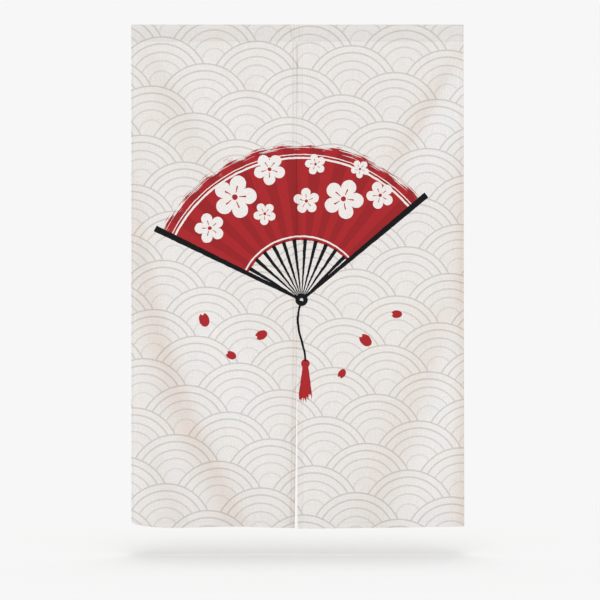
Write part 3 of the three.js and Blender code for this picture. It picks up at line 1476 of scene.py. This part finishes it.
class FanDrawing:
    """The fan as one material draws it."""

    def __init__(self, size: FanPrint, nodes: Nodes) -> None:
        """Works out the fan's own coordinates.

        Args:
            size: the fan's sizes.
            nodes: the material's nodes.
        """
        self.size = size
        self.nodes = nodes
        self.add = nodes.add
        brushed = self._brushed()
        self.upright, self.place = (
            self.add("Mapping", inputs=rivet.seat(brushed, MM), vector_type="TEXTURE")
            for rivet in (Motif(*size.rivet), Motif(*size.rivet, turn=size.tilt))
        )
        self.pleat = size.half_opening * 2 / size.ribs
        self.radius, self.angle = nodes.polar(self.place)
        self.turn = self.add("Math WRAP", self.angle, self.pleat / 2, -self.pleat / 2)
        self.away = self.add("Math ABSOLUTE", self.angle)
        self.within = self.add("Math LESS_THAN", self.away, size.half_opening)

    def _brushed(self) -> Field:
        """Shifts places a little, so that every edge looks drawn with a brush.

        Returns:
            The shifted places on the flat cloth.
        """
        flat = self.nodes.flat
        wander = {"Vector": flat, "Scale": self.size.brush_scale, "Detail": 3.0, "Roughness": 0.62}
        field = self.add("TexNoise", inputs=wander, output=1)
        middle = self.add("VectorMath SUBTRACT", field, (0.5,) * 3)
        shift = self.add("VectorMath SCALE", middle, inputs={"Scale": self.size.brush_wave * MM})
        return self.add("VectorMath ADD", flat, shift)

    def leaf(self) -> Field:
        """Draws the leaf, whose zigzag rim is broken up by dry brush strokes.

        Returns:
            Its mask.
        """
        add = self.add
        size = self.size
        fold = add("Math ABSOLUTE", self.turn)
        rim = add("Math MULTIPLY_ADD", fold, -size.zigzag / self.pleat, size.leaf_to)
        around = add("CombineXYZ", self.angle, self.radius)
        stretched = add("Mapping", inputs={"Vector": around, "Scale": size.stroke_scale})
        dry = {"Vector": stretched, "Scale": 1.0, "Detail": 3.0, "Roughness": 0.6}
        from_rim = add("Math SUBTRACT", rim, self.radius)
        wet = add("Math MULTIPLY_ADD", from_rim, size.brush_fade / size.brush_rim, size.brush_dry)
        printed = add("Math LESS_THAN", add("TexNoise", inputs=dry), wet)
        outside = add("Math GREATER_THAN", self.radius, size.leaf_from)
        return self.nodes.joined("MULTIPLY", (printed, outside, self.within))

    def shade(self) -> Field:
        """Draws the shaded half of every pleat."""
        return self.add("Math GREATER_THAN", self.turn, 0.0)

    def bands(self) -> Field:
        """Draws thin pale bands that follow the leaf's rims."""
        bands = [self.add("Math COMPARE", self.radius, *band) for band in self.size.bands]
        return self.nodes.joined("MAXIMUM", bands)

    def sticks(self) -> Field:
        """Draws the ribs below the leaf, the two guard sticks and the rivet's disc.

        Returns:
            Their mask.
        """
        add = self.add
        joined = self.nodes.joined
        size = self.size
        radius = self.radius
        off_rib = add("Math ABSOLUTE", add("Math MULTIPLY", self.turn, radius))
        half_rib = add("Math MULTIPLY_ADD", radius, size.rib_width / 2 / size.leaf_from, size.rib_foot)
        on_rib = add("Math LESS_THAN", off_rib, half_rib)
        below_leaf = add("Math LESS_THAN", radius, size.leaf_from + size.rib_lap)
        past = add("Math ADD", self.away, -size.half_opening)
        off_guard = add("Math ABSOLUTE", add("Math MULTIPLY", past, radius))
        foot = size.guard_taper * size.guard_width
        half_guard = add("Math MULTIPLY_ADD", radius, foot / size.leaf_to, foot)
        on_guard = add("Math LESS_THAN", off_guard, half_guard)
        in_reach = add("Math LESS_THAN", radius, size.leaf_to + size.guard_past)
        parts = (
            joined("MULTIPLY", (on_rib, below_leaf, self.within)),
            joined("MULTIPLY", (on_guard, in_reach)),
            add("Math LESS_THAN", radius, size.disc),
        )
        eyelet = add("Math GREATER_THAN", radius, size.eyelet)
        return joined("MULTIPLY", (joined("MAXIMUM", parts), eyelet))

    def flowers(self) -> tuple[Field, Field]:
        """Draws the blossoms, with round petals about their middles.

        Returns:
            The masks of the blossoms, and of their pistils and stamens.
        """
        add = self.add
        size = self.size
        flowers = []
        eyes = []
        for blossom in size.blossoms:
            place = add("Mapping", inputs=blossom.seat(self.place), vector_type="TEXTURE")
            radius, angle = self.nodes.polar(place)
            wave = add("Math COSINE", add("Math MULTIPLY", angle, size.petal_count / 2))
            lobe = add("Math ABSOLUTE", wave)
            full = add("Math POWER", lobe, size.petal_fullness)
            rim = add("Math MULTIPLY_ADD", full, size.petal_notch, 1 - size.petal_notch)
            flowers.append(add("Math LESS_THAN", add("Math DIVIDE", radius, rim), 1.0))
            thin = add("Math GREATER_THAN", lobe, size.stamen_thin)
            stamen = (thin, add("Math COMPARE", radius, *size.stamens))
            eyes += [add("Math LESS_THAN", radius, size.pistil), self.nodes.joined("MULTIPLY", stamen)]
        return self.nodes.joined("MAXIMUM", flowers), self.nodes.joined("MAXIMUM", eyes)

    def loose_petals(self) -> Field:
        """Draws single petals that drift below the fan: ovals with a notched tip.

        Returns:
            Their mask.
        """
        add = self.add
        petals = []
        for petal in self.size.petals:
            seat = petal.seat(self.upright, slim=self.size.loose_slim)
            place = add("Mapping", inputs=seat, vector_type="TEXTURE")
            whole = add("Math LESS_THAN", add("VectorMath LENGTH", place, output=1), 1.0)
            notch = add("VectorMath DISTANCE", place, self.size.loose_notch, output=1)
            clear = add("Math GREATER_THAN", notch, self.size.loose_notch_radius)
            petals.append(self.nodes.joined("MULTIPLY", (whole, clear)))
        return self.nodes.joined("MAXIMUM", petals)


@dataclass(frozen=True)
class PrintedLinen:
    """Woven linen and polyester blend, dye printed on one face.

    It looks matte and dry, with thicker threads that show as fine streaks, and no print relief.
    show is how much of the print is seen: all of it on the face, a shadow of it on the reverse.
    """

    name: str
    base: str = "#E3D7CE"
    warm: str = "#E5D6CA"
    cool: str = "#E1D7CE"
    patch_range: tuple[float, float] = (0.45, 0.75)
    wave_ink: str = "#C6BAAF"
    show: float = 1.0
    # tone darkens the whole cloth as painted shade, for the pocket's doubled cloth
    tone: float = 1.0
    # strength of the painted shade at folded edges, the seam and creases
    painted_edge_shade_strength: float = 0.035
    roughness: float = 0.84
    streak_roughness: float = 0.3
    thread: float = 1.5
    thread_relief: float = 0.12
    relief_depth: float = 1.2
    threads: tuple[tuple[float, float, float], ...] = (
        # length across, length down, contrast: thick weft threads, thick warp threads, specks
        (26.0, 2.3, 0.15),
        (2.3, 34.0, 0.15),
        (3.0, 2.6, 0.42),
    )
    waves: WavePrint = WavePrint()
    fan: FanPrint = FanPrint()

    def material(self) -> Finish:
        """Builds the cloth's material.

        Returns:
            The material, for faces with a place on the flat cloth and an edge shade.
        """
        nodes = Nodes(self.name)
        print_layers = [(self.waves.ink(nodes), self.wave_ink), *self.fan.layers(nodes)]
        shown = [(nodes.add("Math MULTIPLY", mask, self.show), ink) for mask, ink in print_layers]
        streaks = self._slubs(nodes)
        colour = nodes.inked(self._ground(nodes), shown)
        dryness = nodes.add("Math MULTIPLY_ADD", streaks, self.streak_roughness, self.roughness)
        return nodes.finish(
            {
                "Base Color": self._shaded(nodes, colour, streaks),
                "Roughness": dryness,
                "Normal": self._weave(nodes, streaks),
                "Specular IOR Level": 0.25,
                "Sheen Weight": 0.03,
                "Sheen Roughness": 0.6,
            }
        )

    def _ground(self, nodes: Nodes) -> Value:
        """Makes the off-white ground, with soft warm and cool patches.

        Args:
            nodes: the material's nodes.

        Returns:
            Its colour.
        """
        layers = []
        for tint, seed, scale in ((self.warm, 2.0, 15.0), (self.cool, 9.0, 19.0)):
            moved = nodes.add("Mapping", inputs={"Vector": nodes.flat, "Location": (seed, 0.0, seed)})
            field = nodes.add("TexNoise", inputs={"Vector": moved, "Scale": scale, "Detail": 2.0})
            layers.append((nodes.add("MapRange", field, *self.patch_range), tint))
        return nodes.inked(linear(self.base), layers)

    def _slubs(self, nodes: Nodes) -> Field:
        """Makes the thicker threads, as long thin streaks, and the specks where they cross.

        The real ones are about half as wide, and are drawn wider so that they show in a view of
        the whole curtain.

        Args:
            nodes: the material's nodes.

        Returns:
            How light they make the cloth.
        """
        streaks = []
        for across, down, contrast in self.threads:
            size = (1 / (across * MM), 1 / (down * MM), 1)
            placed = {"Vector": nodes.flat, "Location": (across, down, 0), "Scale": size}
            settings = {"Vector": nodes.add("Mapping", inputs=placed), "Scale": 1.0, "Detail": 2.0}
            streaks.append(nodes.add("Math MULTIPLY", nodes.add("TexNoise", inputs=settings), contrast))
        return nodes.joined("ADD", streaks)

    def _shaded(self, nodes: Nodes, colour: Value, streaks: Field) -> Field:
        """Paints shade at folded edges and creases, and over all by its tone; streaks vary the colour.

        Args:
            nodes: the material's nodes.
            colour: the printed cloth's colour.
            streaks: how light its threads make it.

        Returns:
            The colour with its painted shade and streaks.
        """
        middle = sum(contrast for *_, contrast in self.threads) / 2
        # painted shade at folded edges and creases, then the tone's painted shade over the whole cloth
        near = nodes.add("Attribute", output="Fac", attribute_name=EDGE_SHADE)
        painted_shade_tone = nodes.add("Math MULTIPLY_ADD", near, -self.painted_edge_shade_strength * self.tone, self.tone)
        streak = nodes.add("Math ADD", streaks, 1 - middle)
        tone = nodes.add("Math MULTIPLY", painted_shade_tone, streak)
        return nodes.add("VectorMath SCALE", colour, inputs={"Scale": tone})

    def _weave(self, nodes: Nodes, streaks: Field) -> Field:
        """Makes the plain weave's relief, with threads about twice their real spacing to show.

        Args:
            nodes: the material's nodes.
            streaks: its thicker threads, which stand out.

        Returns:
            The surface's bumpy direction.
        """
        turns = math.pi / (self.thread * MM)
        grid = nodes.add("Mapping", inputs={"Vector": nodes.flat, "Scale": (turns, turns, 1)})
        over = nodes.add("SeparateXYZ", nodes.add("VectorMath SINE", grid))
        cross = nodes.add("Math MULTIPLY", over, over.node.outputs[1])
        relief = nodes.add("Math MULTIPLY_ADD", cross, self.thread_relief, streaks)
        bump = {"Height": relief, "Strength": 0.5, "Distance": self.relief_depth * MM}
        return nodes.add("Bump", inputs=bump)


@dataclass(frozen=True)
class SewingThread:
    """Spun polyester sewing thread: matte, two twisted plies, made darker than the cloth by painted
    shade.

    It is printed over with the curtain, so it takes the ink in front, and the bobbin thread
    behind stays plain.
    """

    name: str = "spun_polyester_thread"
    # light and dark are the painted light and shade of the twisted plies
    light: str = "#E2D5C9"
    dark: str = "#D1C3B6"
    printed: bool = True
    roughness: float = 0.75
    band: float = 6.283
    band_waver: float = 1.5
    relief_depth: float = 0.1
    fan: FanPrint = FanPrint()

    def material(self) -> Finish:
        """Builds the thread's material.

        Its twist is painted as soft slanted bands of light and shade, far longer than its plies, to show.

        Returns:
            The material, for faces with a place on the flat cloth.
        """
        nodes = Nodes(self.name)
        place = nodes.add("TexCoord", output="Object")
        # a diagonal wave at scale 1 turns by 10 radians a metre along each axis
        scale = 2 * math.pi / (10 * self.band * MM)
        bands = {"Vector": place, "Scale": scale, "Distortion": self.band_waver}
        twist = nodes.add("TexWave", inputs=bands, output=1, bands_direction="DIAGONAL")
        colour = nodes.inked(linear(self.dark), [(twist, self.light)])
        if self.printed:
            colour = nodes.inked(colour, self.fan.layers(nodes))
        bump = {"Height": twist, "Strength": 0.4, "Distance": self.relief_depth * MM}
        return nodes.finish(
            {
                "Base Color": colour,
                "Normal": nodes.add("Bump", inputs=bump),
                "Roughness": self.roughness,
                "Sheen Weight": 0.1,
            }
        )


# The studio


@dataclass(frozen=True)
class Studio:
    """A pale floor and soft light, with the camera square to the curtain.

    The side light and the low fill shape the folds and reach only the curtain. The overhead lights
    reach only the floor, and give it the curtain's shadow.
    """

    picture: int = 600
    scale: float = 2.38
    top_middle: tuple[float, float] = (297.4, 24.6)
    distance: float = 8.0
    sensor: float = 36.0
    floor_gap: float = 62.0
    floor_reach: float = 60.0
    paper: str = "#F7F7F7"
    floor_colour: str = "#BFBFBF"
    key_strength: float = 2.8
    key_tint: tuple[float, float, float] = (0.585, 1.03, 1.43)
    key_from: tuple[float, float, float] = (-1.0, -0.36, 0.05)
    key_softness: float = 24.0
    fill_power: float = 2.5
    fill_size: float = 0.9
    fill_place: tuple[float, float, float] = (0.3, -1.3, -1.35)
    fill_lift: float = 16.0
    overhead: tuple[tuple[float, float, float], ...] = (
        # tilt towards the back in degrees, strength, softness in degrees
        (-25, 0.38, 15),
        (-14, 0.40, 15),
        (-4, 0.38, 15),
        (0, 0.60, 8),
        (6, 0.50, 15),
        (16, 0.50, 15),
    )

    def camera(self) -> None:
        """Adds the camera: a long lens, level and square to the cloth."""
        data = bpy.data.cameras.new("camera")
        data.sensor_width = self.sensor
        data.lens = self.sensor * self.distance / (self.picture * self.scale * MM)
        camera = bpy.data.objects.new("camera", data)
        x, z = ((self.picture / 2 - at) * self.scale * MM for at in self.top_middle)
        camera.location = (x, -self.distance, -z)
        camera.rotation_euler = (math.pi / 2, 0, 0)
        bpy.context.collection.objects.link(camera)
        bpy.context.scene.camera = camera

    def floor(self, lowest: float) -> Piece:
        """Adds a wide pale floor a little below the curtain's foot.

        Args:
            lowest: the height of the foot, in metres.

        Returns:
            The floor's object.
        """
        shape = bmesh.new()
        bmesh.ops.create_grid(shape, x_segments=2, y_segments=2, size=self.floor_reach)
        bmesh.ops.translate(shape, vec=(0, 0, lowest - self.floor_gap * MM), verts=shape.verts[:])
        paint = {"Base Color": linear(self.floor_colour), "Roughness": 1.0, "Specular IOR Level": 0.0}
        return finish_mesh("floor", shape, [Nodes("pale_floor_paint").finish(paint)], math.pi)

    def lights(self, floor: Piece) -> None:
        """Adds even light from all round, the side light, the low fill and the overhead lights.

        Args:
            floor: the floor, which alone gets the overhead lights and so the curtain's shadow.
        """
        world = bpy.data.worlds.new("studio")
        world.use_nodes = True
        world.node_tree.nodes["Background"].inputs["Color"].default_value = linear(self.paper)
        bpy.context.scene.world = world
        bpy.context.scene.view_settings.view_transform = "Standard"
        unlit_floor = self._linked("unlit_floor", floor, "EXCLUDE")
        key = self._sun("key", self.key_strength, self.key_softness, Vector(self.key_from), unlit_floor)
        key.data.color = self.key_tint
        fill = self._lamp("low_fill", "AREA", self.fill_power, unlit_floor)
        fill.data.size = self.fill_size
        fill.location = self.fill_place
        fill.rotation_euler = (math.radians(90 + self.fill_lift), 0, 0)
        fill.visible_camera = False
        lit_floor = self._linked("lit_floor", floor, "INCLUDE")
        for k, (tilt, strength, softness) in enumerate(self.overhead):
            source = Vector((0, math.sin(math.radians(tilt)), math.cos(math.radians(tilt))))
            self._sun(f"overhead_{k}", strength, softness, source, lit_floor)

    def _linked(self, name: str, piece: Piece, state: str) -> bpy.types.Collection:
        """Makes a collection that tells lamps what they light.

        Args:
            name: its name.
            piece: the piece that it is about.
            state: INCLUDE for lamps that light that piece alone, EXCLUDE for all but that piece.

        Returns:
            The collection.
        """
        linked = bpy.data.collections.new(name)
        linked.objects.link(piece)
        linked.collection_objects[0].light_linking.link_state = state
        return linked

    def _lamp(self, name: str, kind: str, energy: float, linked: bpy.types.Collection) -> Piece:
        """Adds a lamp.

        Args:
            name: its name.
            kind: SUN or AREA.
            energy: its strength.
            linked: the collection that tells what it lights.

        Returns:
            The lamp's object.
        """
        lamp = bpy.data.objects.new(name, bpy.data.lights.new(name, kind))
        lamp.data.energy = energy
        lamp.light_linking.receiver_collection = linked
        bpy.context.collection.objects.link(lamp)
        return lamp

    def _sun(
        self, name: str, strength: float, softness: float, source: Vector, linked: bpy.types.Collection
    ) -> Piece:
        """Adds one distant soft light.

        Args:
            name: its name.
            strength: its strength.
            softness: how wide it looks, in degrees.
            source: the direction that it shines from.
            linked: the collection that tells what it lights.

        Returns:
            The light's object.
        """
        sun = self._lamp(name, "SUN", strength, linked)
        sun.data.angle = math.radians(softness)
        sun.rotation_euler = source.to_track_quat("Z", "Y").to_euler()
        return sun


@dataclass
class Noren:
    """The whole curtain: two panels, the pocket over them, and their stitching."""

    hang: Hang
    flat_width_share: float = 1.01

    def __post_init__(self) -> None:
        """Sets up the pieces from their sizes."""
        self.left = Panel(
            side=Side.LEFT,
            hang=self.hang,
            hem_left=7.0,
            hem_right=9.5,
            slit_back=5.4,
            roll=1.1,
            roll_reach=12.0,
            hem_crease=0.12,
            hem_crease_out=0.8,
            hem_shade=1.9,
            foot=(1197.5, 1198, 1196.5, 1195, 1197, 1199),
            curl_along=58.0,
            curl_up=9.2,
        )
        self.right = Panel(
            side=Side.RIGHT,
            hang=self.hang,
            hem_left=15.5,
            hem_right=7.0,
            slit_back=0.7,
            roll=-0.5,
            roll_reach=14.0,
            seam_dip=0.1,
            valley=0.8,
            hem_crease=0.08,
            foot=(1199.5, 1199, 1198, 1197.5, 1195.5, 1194.5),
        )
        self.heading = Heading(self.hang)

    def build(self) -> None:
        """Makes each cloth with its stitching, attaches both to the root and hides the solid part."""
        behind = {"base": "#EBE3DC", "warm": "#ECE1D9", "cool": "#E8E3DB"}
        face, doubled, reverse, plain = (
            linen.material()
            for linen in (
                PrintedLinen("printed_linen_face"),
                # the pocket's cloth is darkened by painted shade, for its doubled cloth
                PrintedLinen("printed_linen_doubled_painted_shade", tone=0.95),
                PrintedLinen("printed_linen_reverse", show=0.16, **behind),
                PrintedLinen("unprinted_linen_hem", show=0.0, **behind),
            )
        )
        bobbin = SewingThread("spun_polyester_bobbin_thread", printed=False)
        threads = [SewingThread().material(), bobbin.material()]
        for cloth, node, slot, front in (
            (self.heading, "heading", "pocket_cloth", doubled),
            (self.left, "left_panel", "panel_cloth", face),
            (self.right, "right_panel", "panel_cloth", face),
        ):
            piece = cloth.build([front, reverse, plain])
            seams = Stitching().sew(cloth, f"{node}_stitching", threads)
            for part in (piece, seams):
                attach(part, "root")
                log.info("%s: %d faces", part.name, len(part.data.polygons))
            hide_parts(node)
            self._flat(cloth)

    def _flat(self, cloth: ClothPiece) -> tuple[float, float]:
        """Returns the width and length in metres that a cloth has when it lies flat and hemmed."""
        return (cloth.width * MM * self.flat_width_share, cloth.run * MM)


def main() -> None:
    """Builds the curtain and its studio."""
    logging.basicConfig(level=logging.INFO, format="%(name)s: %(message)s")
    low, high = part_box("heading")
    # the cloth's edges in the photo lie this far inside the solids' box
    noren = Noren(Hang(left_x=low[0] / MM + 0.4, right_x=high[0] / MM - 1.2))
    noren.build()
    studio = Studio()
    floor = studio.floor(cad_box[0][2])
    floor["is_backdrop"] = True
    studio.lights(floor)
    studio.camera()
    boxes = {"cad": cad_box, "visual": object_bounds()}
    sizes = {name: [list(corner) for corner in box] for name, box in boxes.items()}


if __name__ == "__main__":
    main()
